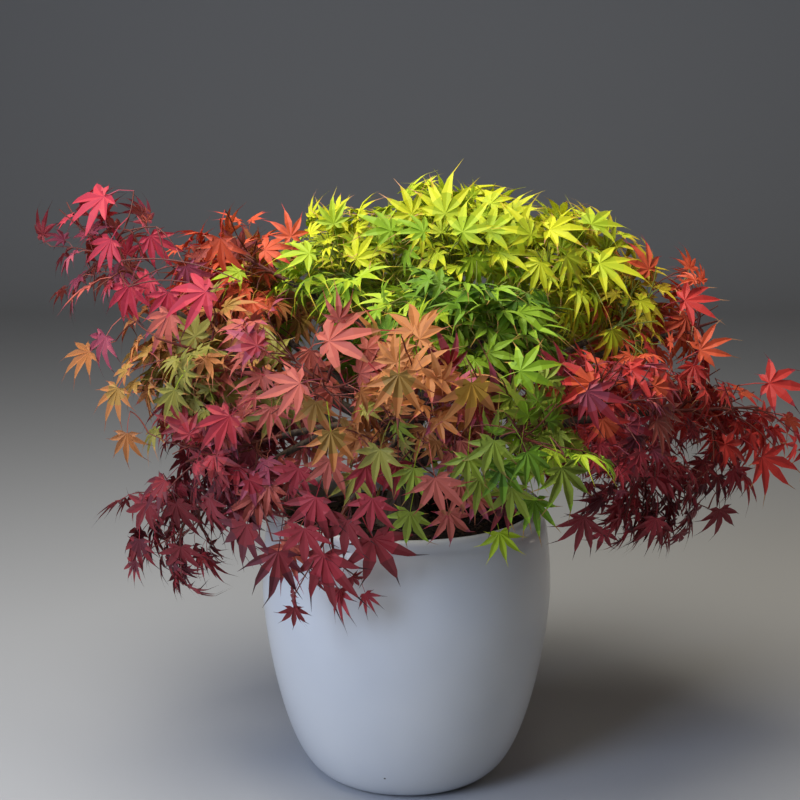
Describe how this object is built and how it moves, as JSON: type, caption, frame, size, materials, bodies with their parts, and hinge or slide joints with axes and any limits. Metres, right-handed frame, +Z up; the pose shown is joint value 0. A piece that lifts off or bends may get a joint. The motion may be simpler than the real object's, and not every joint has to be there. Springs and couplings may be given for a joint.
{
  "type": "potted japanese maple",
  "caption": "Low wide maple shrub in autumn colour, with hand-shaped leaves on layered boughs, growing from a short trunk in a round tapered glazed pot filled with potting mix.",
  "frame": {"origin": "middle of the flat underside of the pot, on the surface that the pot stands on", "axes": "+Z up along the pot's axis, +X to the right as seen from the front, -Y towards the front"},
  "size_m": [1.0003, 0.8054, 0.7969],
  "materials": {
    "glaze": "satin gloss pale grey white glaze",
    "potting_mix": "matt dark crumbly bark based mix",
    "bark": "matt grey brown bark with fine ridges",
    "leaf_crimson": "satin dark crimson leaf",
    "leaf_scarlet": "satin scarlet leaf",
    "leaf_rose": "satin dusky rose leaf",
    "leaf_bronze": "satin bronze orange leaf",
    "leaf_gold": "satin golden yellow leaf",
    "leaf_lime": "satin lime yellow leaf",
    "leaf_green": "satin mid green leaf"
  },
  "bodies": {
    "root": {"pot": "glaze", "potting_mix": "potting_mix", "trunk": "bark", "bough_yellow_top": "bark", "bough_lime_top_left": "bark", "bough_yellow_top_right": "bark", "bough_scarlet_top_left": "bark", "bough_crimson_tip_left": "bark", "bough_rose_left": "bark", "bough_green_middle": "bark", "bough_rose_front_left": "bark", "bough_bronze_front": "bark", "bough_green_front_right": "bark", "bough_rose_front_right": "bark", "bough_gold_right": "bark", "bough_orange_right": "bark", "bough_scarlet_right": "bark", "bough_crimson_right_low": "bark", "bough_crimson_left": "bark", "bough_crimson_left_low": "bark", "bough_crimson_over_rim": "bark", "bough_lime_back": "bark", "bough_bronze_back_left": "bark", "bough_gold_back_right": "bark", "bough_green_back": "bark", "bough_crimson_back_left": "bark", "bough_scarlet_back_right": "bark", "leaves_yellow_top": "leaf_gold", "leaves_lime_top_left": "leaf_lime", "leaves_yellow_top_right": "leaf_gold", "leaves_scarlet_top_left": "leaf_scarlet", "leaves_crimson_tip_left": "leaf_scarlet", "leaves_rose_left": "leaf_rose", "leaves_green_middle": "leaf_green", "leaves_rose_front_left": "leaf_rose", "leaves_bronze_front": "leaf_bronze", "leaves_green_front_right": "leaf_green", "leaves_rose_front_right": "leaf_rose", "leaves_gold_right": "leaf_gold", "leaves_orange_right": "leaf_bronze", "leaves_scarlet_right": "leaf_scarlet", "leaves_crimson_right_low": "leaf_crimson", "leaves_crimson_left": "leaf_crimson", "leaves_crimson_left_low": "leaf_crimson", "leaves_crimson_over_rim": "leaf_crimson", "leaves_lime_back": "leaf_lime", "leaves_bronze_back_left": "leaf_bronze", "leaves_gold_back_right": "leaf_gold", "leaves_green_back": "leaf_green", "leaves_crimson_back_left": "leaf_crimson", "leaves_scarlet_back_right": "leaf_scarlet"}
  },
  "joints": []
}
